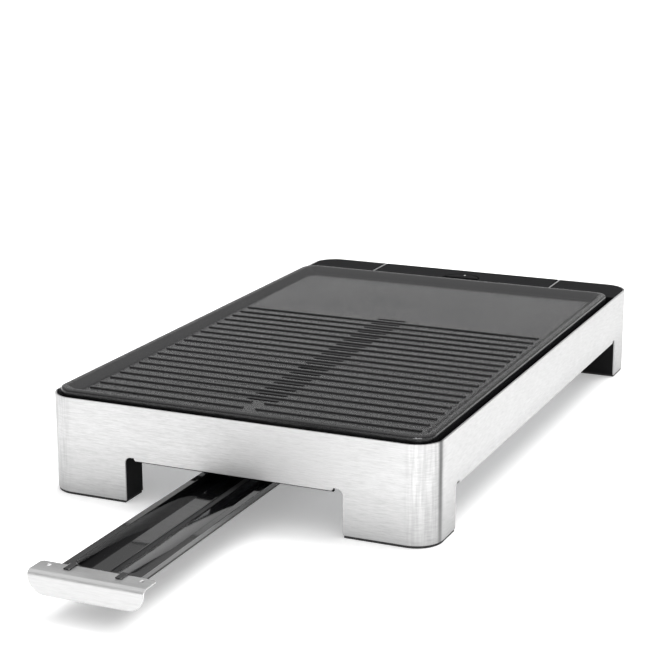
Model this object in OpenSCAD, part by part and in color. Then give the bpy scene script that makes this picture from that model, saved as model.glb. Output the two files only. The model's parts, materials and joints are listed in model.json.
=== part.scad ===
// Electric table griddle with a lift-off ribbed plate, a plug-in temperature
// control and a drip tray that slides out at the front.
// Millimetres. X is the width, Y runs from the tray end (-Y) to the control
// end (+Y), Z is up and the table is z = 0. The body is centred on X = Y = 0.

/* [Body] */
// Overall width of the steel band
body_w = 330; // [290:1:380]
// Overall length of the steel band
body_l = 543; // [470:1:640]
// Height of the band's top edge above the table
band_top = 80.5; // [74:0.5:96]
// Height of the band's lower edge between the legs
band_bottom = 36; // [34:0.5:42]
// Outside corner radius of the band
corner_r = 22; // [14:1:28]
// Thickness of the steel sheet
sheet_t = 1.5; // [0.8:0.1:2]
// Width of a leg, along X
leg_w = 72; // [56:1:86]
// Length of a leg, along Y
leg_l = 47.6; // [40:0.2:60]
// Depth of a leg core behind its end face, along Y
core_end_d = 27; // [20:1:36]
// Depth of a leg core behind its side face, along X
core_side_d = 34; // [24:1:44]
// Wall of the leg cores
core_wall = 2.5; // [1.6:0.1:4]
// Thickness of the rubber under the legs
foot_t = 2; // [1:0.1:4]
// Length of the relief notch at each top corner of a leg opening
notch_l = 8; // [6:0.5:12]
// Height of that notch above the band's lower edge
notch_h = 2.2; // [1:0.1:4]
// Corner radius of that notch
notch_r = 5; // [2:0.5:6]
// Wall of the moulded inner frame
frame_t = 2.5; // [2:0.1:4]
// Gap between the steel band and what stands inside it
fit_gap = 0.2; // [0.1:0.05:0.5]
// How far the inner frame stops below the band's top edge
frame_drop = 3; // [2:0.5:6]
// Width of the frame's inner ledge
ledge_w = 15; // [10:1:20]
// Thickness of the frame's inner ledge
ledge_t = 2.5; // [2:0.1:4]

/* [Grill plate] */
// Gap between the steel band and the plate, on the front and long sides
plate_gap = 4; // [3.5:0.25:8]
// Gap between the plate and the control end
rear_gap = 2.5; // [1.5:0.25:5]
// Outside corner radius of the plate
plate_r = 15; // [14:0.5:20]
// Height of the rim above the cooking floor
rim_rise = 4.8; // [3:0.2:8]
// Width of the rim's flat top
rim_w = 5.5; // [3:0.25:7]
// Width of the slope between the rim and the floor
rim_slope = 8; // [4:0.5:8]
// Thickness of the cooking floor
floor_t = 4.5; // [3:0.25:7]
// Depth of the plate's outer skirt below the cooking floor
skirt_drop = 16.5; // [12:0.5:20]
// Thickness of that skirt
skirt_t = 4; // [3:0.25:6]
// Number of ribs
rib_count = 19; // [12:1:22]
// Distance from one rib to the next
rib_pitch = 15.78; // [12:0.01:17]
// Width of a rib
rib_w = 3.6; // [2.5:0.1:6]
// Height of a rib
rib_h = 1.1; // [0.8:0.1:3]
// Distance from the plate's front edge to the middle of the first rib
first_rib = 27.8; // [22:0.1:36]
// Distance from the plate's side edge to the end of the ribs
rib_margin = 16.5; // [14:0.5:24]
// Number of front ribs that are parted in the middle
parted_ribs = 2; // [0:1:4]
// Gap in the middle of the parted ribs
parted_gap = 10; // [6:0.5:16]
// Length of a drain slot
slot_l = 27; // [16:0.5:32]
// Width of a drain slot
slot_w = 3.8; // [2:0.1:5]

/* [Heating] */
// Radius of the heating tube
tube_r = 3.5; // [3:0.1:4.5]
// Depth of the tube's axis below the underside of the floor
tube_drop = 6; // [5:0.25:8]
// Inside bend radius of the tube's axis
bend_r = 15; // [12:0.5:20]
// Distance of the tube's outer runs from the plate's side edge
outer_run = 44.5; // [36:0.5:60]
// Distance of the tube's inner runs from the middle
inner_run = 55; // [44:0.5:60]
// Half the distance between the two contact pins
pin_x = 16; // [14:0.25:18]
// Radius of a contact pin
pin_r = 2; // [1.5:0.1:2.5]
// Radial clearance of the contact sleeves and of the probe's tunnel
plug_gap = 0.35; // [0.3:0.05:0.6]

/* [Control unit] */
// Depth of the control unit's pocket, along Y
pocket_d = 52; // [48:0.5:62]
// Gap between the control unit and the pocket's sides
unit_gap = 0.8; // [0.4:0.1:1.5]
// Wall of the control unit's case
case_t = 2; // [1.6:0.1:3]
// Height of the case's lower half
case_split = 24.6; // [18:0.2:28]
// Distance from the case's front face to the dial's axis
dial_y = 19.2; // [19:0.2:24]
// Radius of the dial
dial_r = 17.6; // [14:0.2:18]
// Gap around the dial
dial_gap = 0.9; // [0.5:0.1:1.2]
// Thickness of the dial
dial_t = 4.1; // [3:0.1:5]
// Width of the finger groove across the dial
groove_w = 5; // [3:0.5:8]
// Depth of the finger groove
groove_d = 1.6; // [0.8:0.1:2.2]
// Radius of the dial's shaft
shaft_r = 3; // [2:0.1:3.5]
// Length of the temperature probe in front of the case
probe_l = 78; // [60:1:90]
// Radius of the temperature probe
probe_r = 3; // [2:0.1:3.5]
// Radius of the cord outlet's bore
outlet_r = 3.7; // [3:0.1:4.5]

/* [Drip tray] */
// Width of the tray over its lips
tray_w = 61; // [52:0.5:70]
// Length of the tray over its lips
tray_l = 358; // [300:1:380]
// Width of the trough between the lips
trough_w = 50; // [44:0.5:56]
// Height of the tray from its underside to its lips
tray_h = 9.1; // [8:0.1:12]
// Height of the lips above the table
lip_z = 31.5; // [30:0.1:32]
// Thickness of the tray's sheet
tray_t = 1.1; // [0.8:0.1:1.5]
// Corner radius of the trough
trough_r = 12; // [6:0.5:14]
// Width of the channel along the trough's floor
channel_w = 5; // [3:0.5:8]
// How far the tray stands out of its closed place as the part is stored
tray_out = 212; // [0:1:220]
// Width of the handle
handle_w = 89.4; // [76:0.2:110]
// Depth of the handle's flange, from its rear edge to its front face
flange_d = 18.8; // [16:0.2:24]
// Height of the handle's front face
face_h = 16.7; // [14:0.1:20]
// Thickness of the handle's sheet
handle_t = 1.2; // [1:0.1:2]
// Outside radius of the handle's bend
handle_bend = 4; // [2:0.25:5]
// Radius of the face's lower corners
face_r = 13; // [8:0.5:14]

/* [Hidden] */
$fn = 64;
e = 0.05;
// heights
leg_bottom = foot_t;
frame_bottom = band_bottom - 1.2;
frame_top = band_top - frame_drop;
ledge_z = band_bottom + 2.5;
pan_z = ledge_z + ledge_t;
pan_t = 1;
shield_z = pan_z + 9;
shield_t = 0.8;
floor_top = band_top;
floor_bottom = floor_top - floor_t;
skirt_bottom = floor_top - skirt_drop;
tube_z = floor_bottom - tube_drop;
// plan of the body
half_w = body_w / 2;
half_l = body_l / 2;
in_w = body_w - 2 * (sheet_t + fit_gap);
in_l = body_l - 2 * (sheet_t + fit_gap);
in_r = corner_r - sheet_t - fit_gap;
frame_in_w = in_w - 2 * frame_t;
frame_in_l = in_l - 2 * frame_t;
frame_in_r = in_r - frame_t;
leg_x = half_w - leg_w;
leg_y = half_l - leg_l;
pocket_x = leg_x;
cheek_x = pocket_x + sheet_t;
pocket_y = half_l - pocket_d;
// plan of the plate
plate_w = body_w - 2 * (sheet_t + plate_gap);
plate_y0 = -half_l + sheet_t + plate_gap;
plate_y1 = pocket_y - rear_gap;
plate_l = plate_y1 - plate_y0;
plate_cy = (plate_y0 + plate_y1) / 2;
rib_x = plate_w / 2 - rib_margin;
rib_y0 = plate_y0 + first_rib;
slot_y0 = rib_y0 + (parted_ribs - 0.5) * rib_pitch;
slot_y1 = rib_y0 + (rib_count - 0.5) * rib_pitch;
slot_n = rib_count - parted_ribs + 1;
gutter_x = slot_l / 2 + 4;
gutter_y0 = slot_y0 - slot_w / 2 - 6;
gutter_y1 = slot_y1 + slot_w / 2 + 6;
// heating tube
run_out = plate_w / 2 - outer_run;
turn_r = (run_out - inner_run) / 2;
turn_y = plate_y0 + 41 + turn_r;
cross_y1 = plate_y1 - 42;
cross_y0 = gutter_y1 + 28;
tube_end = cross_y1 + bend_r + 7;
pin_end = plate_y1 - 1;
// clips along the tube: places along Y, half length, thickness, screws' distance from the tube's axis
clip_y = [turn_y + 20, cross_y0 - 60, cross_y1 - 45];
clip_half = 15;
clip_t = 1;
clip_x = 11;
// supports
rest_x = plate_w / 2 - skirt_t / 2;
rest_y = [plate_y0 + 55, plate_cy, plate_y1 - 55];
rest_t = 2;
pan_x = frame_in_w / 2 - 9.8;
pan_y0 = -frame_in_l / 2 + 9.3;
pan_y1 = pocket_y - 5;
drip_x = 20;
drip_y0 = gutter_y0 - 6;
drip_y1 = gutter_y1 + 6;
// tray, at its stored place
tray_y0 = -half_l - 0.8 + flange_d - 10.5 - tray_out;
tray_y1 = tray_y0 + tray_l;
face_y = -half_l - 0.8 - tray_out;
flange_y = face_y + flange_d;
trough_y0 = flange_y + 3.7;
trough_y1 = tray_y1 - (tray_w - trough_w) / 2;
tray_z = lip_z - tray_h;
rail_y0 = -half_l + 20.5;
rail_y1 = tray_y1 + tray_out + 8;
rail_in = tray_w / 2 + 1.8;
rail_t = 1.2;
// control unit
unit_x = pocket_x - unit_gap;
unit_z0 = pan_z + 0.4;
unit_zs = unit_z0 + case_split;
unit_y0 = pocket_y;
unit_y1 = half_l;
dial_cy = unit_y0 + dial_y;
dial_z = band_top - dial_t;
well_z = dial_z - 0.4;
nose_x = pin_x + 8;
nose_y0 = unit_y0 - 16;
nose_y1 = unit_y0 + 11;
nose_h = 4.6;
sleeve_r = pin_r + plug_gap + 0.9;
outlet_x = -62;
outlet_z = unit_z0 + 13;
lens_x = 50;
lens_y = unit_y0 + 7;
screw_x = unit_x - 11;
screw_y = [unit_y0 + 8, unit_y1 - 8];
guard_x = nose_x + 4;
guard_y0 = plate_y1 - 27;
guard_z0 = tube_z - 7.5;
guard_sx = guard_x + 5;
guard_sy = plate_y1 - 12;

black = [0.07, 0.07, 0.075];
coat = [0.17, 0.17, 0.175];
steel = [0.82, 0.82, 0.83];
sheetc = [0.62, 0.63, 0.65];
rubberc = [0.05, 0.05, 0.05];
brassc = [0.8, 0.66, 0.35];

// ---------- shared shapes ----------
module rounded_rect(w, l, r) {
    square([w - 2 * r, l], center = true);
    square([w, l - 2 * r], center = true);
    for (x = [-1, 1], y = [-1, 1])
        translate([x * (w / 2 - r), y * (l / 2 - r)]) circle(r);
}

// a square given by its two corners
module area(x0, y0, x1, y1) translate([x0, y0]) square([x1 - x0, y1 - y0]);

// a box given by its two corners
module block(x0, y0, z0, x1, y1, z1)
    translate([x0, y0, z0]) cube([x1 - x0, y1 - y0, z1 - z0]);

module both_sides() {
    children();
    mirror([1, 0, 0]) children();
}

// a profile (x across, y up) drawn along Y or X, or turned round a bend
module run_y(x, y0, y1) translate([x, y1, 0]) rotate([90, 0, 0]) linear_extrude(y1 - y0) children();
module run_x(y, x0, x1) translate([x0, y, 0]) rotate([90, 0, 90]) linear_extrude(x1 - x0) children();
module bend(x, y, r, from, turn)
    translate([x, y, 0]) rotate([0, 0, from]) rotate_extrude(angle = turn) translate([r, 0]) children();

// a profile (x inwards from the edge, y up) swept round a rounded rectangle
module sweep_rect(w, l, r) {
    for (k = [0, 1]) mirror([k, 0, 0]) for (j = [0, 1]) mirror([0, j, 0]) {
        translate([w / 2 - r, l / 2 - r, 0]) rotate_extrude(angle = 90)
            translate([r, 0]) mirror([1, 0]) children();
    }
    for (k = [0, 1]) mirror([k, 0, 0])
        translate([w / 2, l / 2 - r, 0]) rotate([90, 0, 0]) linear_extrude(l - 2 * r)
            mirror([1, 0]) children();
    for (j = [0, 1]) mirror([0, j, 0])
        translate([-w / 2 + r, l / 2, 0]) rotate([90, 0, 90]) linear_extrude(w - 2 * r)
            mirror([1, 0]) children();
}

// half of a leg opening in side view: x from the middle, y up
module opening_half(reach, top) {
    area(-e, -e, reach - notch_r, top);
    area(reach - notch_l, -e, reach - notch_r, top + notch_h);
    area(reach - notch_r - e, -e, reach, top + notch_h - notch_r);
    translate([reach - notch_r, top + notch_h - notch_r]) circle(notch_r);
}

module opening_2d(reach, top) {
    opening_half(reach, top);
    mirror([1, 0]) opening_half(reach, top);
}

// plan of the four leg cores, drawn in by s from their outside
module core_plan(s) {
    intersection() {
        rounded_rect(in_w - 2 * s, in_l - 2 * s, in_r - s);
        both_sides() for (k = [0, 1]) mirror([0, k, 0]) {
            area(leg_x + 0.2 + s, half_l - core_end_d + s, half_w, half_l);
            area(half_w - core_side_d + s, leg_y + 0.2 + s, half_w, half_l);
        }
    }
}

module screw(head_r, head_h, shank_r, shank_l) {
    // head below, shank upwards, with a straight slot in the head
    difference() {
        translate([0, 0, -head_h]) cylinder(r = head_r, h = head_h);
        translate([-head_r, -0.4, -head_h - e]) cube([2 * head_r, 0.8, 0.6 + e]);
    }
    cylinder(r = shank_r, h = shank_l);
}

// ---------- base ----------
module steel_shell() color(steel) {
    difference() {
        translate([0, 0, leg_bottom]) linear_extrude(band_top - leg_bottom) {
            difference() {
                rounded_rect(body_w, body_l, corner_r);
                rounded_rect(body_w - 2 * sheet_t, body_l - 2 * sheet_t, corner_r - sheet_t);
                area(-cheek_x, half_l - 2 * sheet_t, cheek_x, half_l + 1);
            }
        }
        // between the front legs
        translate([0, -half_l + corner_r / 2, 0]) rotate([90, 0, 0]) linear_extrude(corner_r)
            opening_2d(leg_x, band_bottom);
        // between the legs of each long side
        translate([-half_w - 1, 0, 0]) rotate([90, 0, 90]) linear_extrude(body_w + 2)
            opening_2d(leg_y, band_bottom);
    }
    // the sheet's two ends turned in as the sides of the control unit's pocket
    both_sides() {
        block(pocket_x, pocket_y, pan_z + fit_gap, cheek_x, half_l, band_top);
        block(pocket_x, half_l - sheet_t, leg_bottom, cheek_x + 1, half_l, band_top);
    }
}

module base_frame() color(black) {
    difference() {
        union() {
            // wall behind the steel band
            translate([0, 0, frame_bottom]) linear_extrude(frame_top - frame_bottom) difference() {
                rounded_rect(in_w, in_l, in_r);
                rounded_rect(frame_in_w, frame_in_l, frame_in_r);
            }
            // ledge under the pan, and the pocket's floor
            translate([0, 0, ledge_z]) linear_extrude(ledge_t) difference() {
                rounded_rect(in_w, in_l, in_r);
                area(-frame_in_w / 2 + ledge_w, -frame_in_l / 2 + ledge_w,
                     frame_in_w / 2 - ledge_w, pan_y1 - 6);
            }
            // sides of the pocket, behind the steel
            both_sides() block(cheek_x + fit_gap, pocket_y, ledge_z, cheek_x + fit_gap + frame_t,
                               in_l / 2 - 1, frame_top);
            // leg cores
            translate([0, 0, leg_bottom]) linear_extrude(ledge_z + ledge_t - leg_bottom) core_plan(0);
            // posts for the plate's rests
            both_sides() for (y = rest_y)
                block(rest_x - 5, y - 10, ledge_z, in_w / 2 - 1, y + 10, skirt_bottom - rest_t);
        }
        // hollow of the leg cores, open at the top
        translate([0, 0, leg_bottom + core_wall]) linear_extrude(ledge_z) core_plan(core_wall);
        // mouth of the pocket
        block(-cheek_x - fit_gap, pocket_y, pan_z, cheek_x + fit_gap, half_l + 1, band_top + 1);
        block(-cheek_x - fit_gap, half_l - 4, -1, cheek_x + fit_gap, half_l + 1, band_top + 1);
        // the wall stands clear of the notches beside the legs
        both_sides() {
            block(leg_x - notch_l, -half_l, -1, leg_x + 0.1, -half_l + 8, ledge_z);
            for (k = [-1, 1]) block(half_w - 8, k * (leg_y - notch_l / 2) - notch_l / 2, -1,
                                    half_w, k * (leg_y - notch_l / 2) + notch_l / 2, ledge_z);
        }
        // holes for the feet's plugs and for the pan's screws
        foot_places() translate([0, 0, 0]) cylinder(r = 3.1, h = leg_bottom + core_wall + 1);
        pan_screw_places() translate([0, 0, ledge_z - 1]) cylinder(r = 1.5, h = ledge_t + 2);
    }
}

module foot_places() both_sides() for (k = [-1, 1]) {
    translate([leg_x + 12, k * (half_l - core_end_d / 2 - 1), 0]) children();
    translate([half_w - core_side_d / 2 - 1, k * (half_l - core_end_d / 2 - 1), 0]) children();
}

module foot_pads() color(rubberc) {
    translate([0, 0, 0]) linear_extrude(foot_t - fit_gap / 2) difference() {
        intersection() {
            rounded_rect(body_w - 1, body_l - 1, corner_r - 0.5);
            both_sides() for (k = [0, 1]) mirror([0, k, 0]) {
                area(leg_x + 0.8, half_l - core_end_d + 0.6, half_w, half_l);
                area(half_w - core_side_d + 0.6, leg_y + 0.8, half_w, half_l);
            }
        }
    }
    foot_places() cylinder(r = 3, h = leg_bottom + core_wall);
}

module pan_screw_places() {
    both_sides() for (y = [pan_y0 + 22, (rest_y[0] + rest_y[1]) / 2, (rest_y[1] + rest_y[2]) / 2, pan_y1 - 18])
        translate([pan_x - 2.6, y, 0]) children();
    for (x = [-70, 70], y = [pan_y0 + 3, pan_y1 - 3]) translate([x, y, 0]) children();
}

module pan_screws() color(sheetc)
    pan_screw_places() translate([0, 0, pan_z + pan_t]) mirror([0, 0, 1]) screw(2.8, 1.6, 1.45, pan_t + 3.2);

module bottom_pan() color(sheetc) {
    difference() {
        translate([0, 0, pan_z]) linear_extrude(pan_t)
            area(-pan_x, pan_y0, pan_x, pan_y1);
        block(-drip_x, drip_y0, pan_z - 1, drip_x, drip_y1, pan_z + 3);
        pan_screw_places() translate([0, 0, pan_z - 1]) cylinder(r = 1.7, h = 4);
        rivet_places() translate([0, 0, pan_z - 1]) cylinder(r = 1.6, h = 4);
    }
    // upturned lip round the drip opening
    translate([0, 0, pan_z + pan_t / 2]) linear_extrude(3) difference() {
        area(-drip_x - 1, drip_y0 - 1, drip_x + 1, drip_y1 + 1);
        area(-drip_x, drip_y0, drip_x, drip_y1);
    }
}

module shield_places() both_sides() for (y = [plate_y0 + 40, plate_cy, plate_y1 - 45])
    translate([plate_w / 2 - 30, y, 0]) children();

module shield_spacers() color(sheetc) shield_places() translate([0, 0, pan_z + pan_t]) difference() {
    cylinder(r = 4, h = shield_z - pan_z - pan_t);
    translate([0, 0, -1]) cylinder(r = 1.6, h = 30);
}

module shield_screws() color(sheetc)
    shield_places() translate([0, 0, shield_z + shield_t]) mirror([0, 0, 1]) screw(3, 1.8, 1.5, 8);

module heat_shield() color([0.75, 0.76, 0.78]) {
    sx = plate_w / 2 - 14;
    sy0 = plate_y0 + 14;
    sy1 = plate_y1 - 14;
    difference() {
        translate([0, 0, shield_z]) linear_extrude(shield_t) area(-sx, sy0, sx, sy1);
        block(-drip_x, drip_y0, shield_z - 1, drip_x, drip_y1, shield_z + 3);
        shield_places() translate([0, 0, shield_z - 1]) cylinder(r = 1.7, h = 4);
    }
    // edges turned up along the long sides, and down round the drip opening
    both_sides() block(sx - shield_t, sy0, shield_z, sx, sy1, shield_z + 6);
    translate([0, 0, shield_z - 4]) linear_extrude(4 + shield_t / 2) difference() {
        area(-drip_x, drip_y0, drip_x, drip_y1);
        area(-drip_x + shield_t, drip_y0 + shield_t, drip_x - shield_t, drip_y1 - shield_t);
    }
}

module plate_rests() color(rubberc) both_sides() for (y = rest_y)
    block(rest_x - 4, y - 9, skirt_bottom - rest_t, rest_x + 2.4, y + 9, skirt_bottom);

module rivet_places() both_sides() for (y = [rail_y0 + 14, (rail_y0 + rail_y1) / 2, rail_y1 - 14])
    translate([rail_in + 7, y, 0]) children();

module rail_shape() {
    // flange under the pan, web, and the ledge that carries the tray's lip
    top = pan_z;
    low = lip_z - tray_t - 0.25;
    area(rail_in, top - rail_t, rail_in + 12, top);
    area(rail_in, low - rail_t, rail_in + rail_t, top);
    area(trough_w / 2 + tray_t + 1.5, low - rail_t, rail_in + rail_t, low);
}

module tray_rail() difference() {
    union() {
        run_y(0, rail_y0, rail_y1) rail_shape();
        // stop behind the closed tray
        block(trough_w / 2 + tray_t + 1.5, rail_y1 - rail_t, lip_z - tray_t - 0.5,
              rail_in + rail_t, rail_y1, lip_z + 3);
    }
    for (y = [rail_y0 + 14, (rail_y0 + rail_y1) / 2, rail_y1 - 14])
        translate([rail_in + 7, y, pan_z - 4]) cylinder(r = 1.6, h = 8);
}

module tray_rail_right() color(sheetc) tray_rail();
module tray_rail_left() color(sheetc) mirror([1, 0, 0]) tray_rail();

module rail_rivets() color(sheetc) rivet_places() {
    translate([0, 0, pan_z - rail_t - 1.2]) cylinder(r = 3, h = 1.2);
    translate([0, 0, pan_z - rail_t - 0.5]) cylinder(r = 1.55, h = rail_t + pan_t + 1);
    translate([0, 0, pan_z + pan_t]) cylinder(r = 2.6, h = 0.9);
}

module rear_deck() {
    x0 = cheek_x + fit_gap;
    y0 = pocket_y;
    top = band_top;
    difference() {
        union() {
            translate([0, 0, frame_top + 0.2]) linear_extrude(top - frame_top - 0.2) intersection() {
                rounded_rect(in_w, in_l, in_r);
                area(x0, y0, half_w, half_l);
            }
            // skirt inside the frame
            translate([0, 0, frame_top - 14]) linear_extrude(16) intersection() {
                rounded_rect(frame_in_w - 0.6, frame_in_l - 0.6, frame_in_r - 0.3);
                area(x0 + frame_t + 0.3, y0, half_w, half_l);
            }
        }
        translate([0, 0, frame_top - 15]) linear_extrude(15) intersection() {
            rounded_rect(frame_in_w - 4.6, frame_in_l - 4.6, frame_in_r - 2.3);
            area(x0 + frame_t + 2.3, y0 + 2, half_w, half_l);
        }
    }
}

module rear_deck_right() color(black) rear_deck();
module rear_deck_left() color(black) mirror([1, 0, 0]) rear_deck();

// ---------- grill plate ----------
module tube_path(part = 0) both_sides() {
    // part 1 leaves out the two straight ends
    if (part == 0) run_y(pin_x, cross_y1 + bend_r, tube_end) children();
    bend(pin_x + bend_r, cross_y1 + bend_r, bend_r, 180, 90) children();
    run_x(cross_y1, pin_x + bend_r, run_out - bend_r) children();
    bend(run_out - bend_r, cross_y1 - bend_r, bend_r, 0, 90) children();
    run_y(run_out, turn_y, cross_y1 - bend_r) children();
    bend(run_out - turn_r, turn_y, turn_r, 180, 180) children();
    run_y(inner_run, turn_y, cross_y0 - bend_r) children();
    bend(inner_run - bend_r, cross_y0 - bend_r, bend_r, 0, 90) children();
    run_x(cross_y0, 0, inner_run - bend_r) children();
}

module slot_2d(l, w) {
    square([l - w, w], center = true);
    for (s = [-1, 1]) translate([s * (l - w) / 2, 0]) circle(w / 2);
}

module rib(i) translate([0, rib_y0 + i * rib_pitch, floor_top - e]) {
    if (i < parted_ribs) {
        half = (2 * rib_x - parted_gap) / 2;
        for (s = [-1, 1]) translate([s * (parted_gap + half) / 2, 0, 0])
            linear_extrude(rib_h + e) slot_2d(half, rib_w);
    } else {
        linear_extrude(rib_h + e) slot_2d(2 * rib_x, rib_w);
    }
}

module clip_places() both_sides() {
    for (y = clip_y) translate([run_out, y, 0]) children();
    for (y = [clip_y[0], clip_y[1]]) translate([inner_run, y, 0]) children();
}

module grill_plate() color(coat) {
    difference() {
        union() {
            translate([0, plate_cy, 0]) sweep_rect(plate_w, plate_l, plate_r) polygon([
                [0, skirt_bottom], [0, floor_top + rim_rise - 1], [1, floor_top + rim_rise],
                [rim_w, floor_top + rim_rise], [rim_w + rim_slope, floor_top],
                [rim_w + rim_slope, floor_bottom], [skirt_t + 3, floor_bottom],
                [skirt_t, floor_bottom - 4], [skirt_t, skirt_bottom]]);
            translate([0, plate_cy, floor_bottom]) linear_extrude(floor_t)
                rounded_rect(plate_w - 2 * rim_w - rim_slope, plate_l - 2 * rim_w - rim_slope,
                             plate_r - rim_w - rim_slope / 2);
            for (i = [0 : rib_count - 1]) rib(i);
            // ridge that holds the heating tube
            tube_path(1) translate([-tube_r - 2.5, tube_z]) square([2 * tube_r + 5, tube_drop + 1]);
            // bosses for the clips' screws
            clip_places() for (s = [-1, 1]) translate([s * clip_x, 0, tube_z])
                cylinder(r = 3.2, h = tube_drop + 1);
            // tunnel for the probe
            block(-6.5, unit_y0 - probe_l - 2, tube_z - 5, 6.5, guard_y0 - 3, floor_bottom + 1);
            // skirt under the drain slots
            translate([0, 0, floor_bottom - 12]) linear_extrude(13) difference() {
                area(-gutter_x - 2, gutter_y0 - 2, gutter_x + 2, gutter_y1 + 2);
                area(-gutter_x, gutter_y0, gutter_x, gutter_y1);
            }
            // bosses for the guard's screws
            both_sides() translate([guard_sx, guard_sy, tube_z - 2])
                cylinder(r = 4, h = floor_bottom - tube_z + 3);
        }
        for (i = [0 : slot_n - 1]) translate([0, slot_y0 + i * rib_pitch, floor_bottom - 1])
            linear_extrude(floor_t + 2) slot_2d(slot_l, slot_w);
        tube_path() translate([0, tube_z]) circle(tube_r + 0.05);
        translate([0, guard_y0, tube_z]) rotate([90, 0, 0]) cylinder(r = probe_r + plug_gap, h = probe_l);
        clip_places() for (s = [-1, 1]) translate([s * clip_x, 0, tube_z - 1]) cylinder(r = 1.3, h = 6.5);
        both_sides() translate([guard_sx, guard_sy, tube_z - 3]) cylinder(r = 1.3, h = 8);
        // opening in the rear skirt for the control unit's plug
        block(-guard_x - 1, plate_y1 - skirt_t - 4, skirt_bottom - 1, guard_x + 1, plate_y1 + 1, floor_bottom - e);
    }
}

module heating_element() color([0.35, 0.34, 0.33])
    tube_path() translate([0, tube_z]) circle(tube_r);

module element_clips() color(sheetc) clip_places() difference() {
    translate([0, 5, tube_z]) rotate([90, 0, 0]) linear_extrude(10) difference() {
        union() {
            area(-clip_half, -clip_t, clip_half, -e);
            circle(tube_r + clip_t);
        }
        circle(tube_r + 0.05);
        area(-clip_half - 1, -e, clip_half + 1, 8);
    }
    for (s = [-1, 1]) translate([s * clip_x, 0, tube_z - 5]) cylinder(r = 1.5, h = 8);
}

module clip_screws() color(sheetc) clip_places() for (s = [-1, 1])
    translate([s * clip_x, 0, tube_z - clip_t]) screw(2.6, 1.5, 1.25, 5);

module terminal_pins() color(brassc) both_sides() translate([pin_x, pin_end, tube_z]) rotate([90, 0, 0])
    cylinder(r = pin_r, h = pin_end - tube_end - 3);

module terminal_insulators() color([0.93, 0.92, 0.88]) both_sides()
    translate([pin_x, tube_end + 3.4, tube_z]) rotate([90, 0, 0]) difference() {
        cylinder(r = tube_r - 0.6, h = 3.2);
        translate([0, 0, -1]) cylinder(r = pin_r + 0.02, h = 1.4);
    }

module terminal_guard() color(black) difference() {
    union() {
        block(-guard_x, guard_y0, guard_z0, guard_x, plate_y1 + 0.8, floor_bottom - 0.6);
        both_sides() block(guard_x - 1, guard_sy - 5, tube_z - 3.6, guard_sx + 5, guard_sy + 5, tube_z - 2.1);
    }
    block(-guard_x + 1.5, guard_y0 + 1.5, guard_z0 + 1.5, guard_x - 1.5, plate_y1 + 2, floor_bottom + 1);
    both_sides() translate([pin_x, guard_y0 + 3, tube_z]) rotate([90, 0, 0]) cylinder(r = tube_r + 0.5, h = 5);
    translate([0, guard_y0 + 3, tube_z]) rotate([90, 0, 0]) cylinder(r = probe_r + 1, h = 5);
    both_sides() translate([guard_sx, guard_sy, tube_z - 5]) cylinder(r = 1.6, h = 5);
}

module guard_screws() color(sheetc) both_sides()
    translate([guard_sx, guard_sy, tube_z - 3.6]) screw(2.8, 1.6, 1.25, 6);

// ---------- control unit ----------
module nose_cut(g) block(-nose_x - g, unit_y0 - 1, tube_z - nose_h - g, nose_x + g, unit_y0 + case_t + 1,
                         tube_z + nose_h - 0.8 + g);

module case_bosses(z0, z1, r) for (x = [-1, 1], y = screw_y) translate([x * screw_x, y, z0]) cylinder(r = r, h = z1 - z0);

module control_base() color(black) difference() {
    union() {
        difference() {
            block(-unit_x, unit_y0, unit_z0, unit_x, unit_y1, unit_zs);
            block(-unit_x + case_t, unit_y0 + case_t, unit_z0 + case_t, unit_x - case_t, unit_y1 - case_t, unit_zs + 1);
        }
        case_bosses(unit_z0 + 1, unit_zs, 4);
        // shelf for the switch
        block(-22, dial_cy - 15, unit_z0 + 1, 22, dial_cy + 15, unit_z0 + 4);
    }
    nose_cut(0.3);
    case_bosses(unit_z0 - 1, unit_zs + 1, 1.8);
    case_bosses(unit_z0 - 1, unit_z0 + 3, 3.3);
    translate([outlet_x, unit_y1 + 1, outlet_z]) rotate([90, 0, 0]) cylinder(r = outlet_r + 2.6, h = case_t + 2);
}

module control_top() color(black) difference() {
    union() {
        difference() {
            block(-unit_x, unit_y0, unit_zs, unit_x, unit_y1, band_top);
            block(-unit_x + case_t, unit_y0 + case_t, unit_zs - 1, unit_x - case_t, unit_y1 - case_t, band_top - case_t);
        }
        // floor and wall of the dial's well
        translate([0, dial_cy, well_z - 1.6]) intersection() {
            cylinder(r = dial_r + dial_gap + 1.6, h = band_top - well_z + 1.6);
            translate([-30, unit_y0 - dial_cy, 0]) cube([60, 60, 20]);
        }
        case_bosses(unit_zs, band_top - 1, 4);
        translate([lens_x, lens_y, band_top - 5]) cylinder(r = 4.6, h = 4);
    }
    translate([0, dial_cy, well_z]) cylinder(r = dial_r + dial_gap, h = 20);
    translate([0, dial_cy, well_z - 5]) cylinder(r = shaft_r + 0.5, h = 20);
    nose_cut(0.3);
    case_bosses(unit_zs - 1, band_top - 4, 1.4);
    translate([lens_x, lens_y, band_top - 6]) cylinder(r = 2.6, h = 10);
    translate([lens_x, lens_y, band_top - 0.8]) cylinder(r = 3.4, h = 2);
}

module socket_block() color([0.55, 0.42, 0.3]) difference() {
    block(-nose_x, nose_y0, tube_z - nose_h, nose_x, nose_y1, tube_z + nose_h - 0.8);
    both_sides() translate([pin_x, nose_y1 + 1, tube_z]) rotate([90, 0, 0])
        cylinder(r = sleeve_r + 0.02, h = nose_y1 - nose_y0 + 2);
    translate([0, nose_y1 + 1, tube_z]) rotate([90, 0, 0]) cylinder(r = probe_r + 0.02, h = 60);
}

module socket_sleeves() color(brassc) both_sides()
    translate([pin_x, nose_y1 + 3, tube_z]) rotate([90, 0, 0]) difference() {
        cylinder(r = sleeve_r, h = nose_y1 + 3 - nose_y0 - 0.5);
        translate([0, 0, 2]) cylinder(r = pin_r + plug_gap, h = 60);
    }

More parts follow.
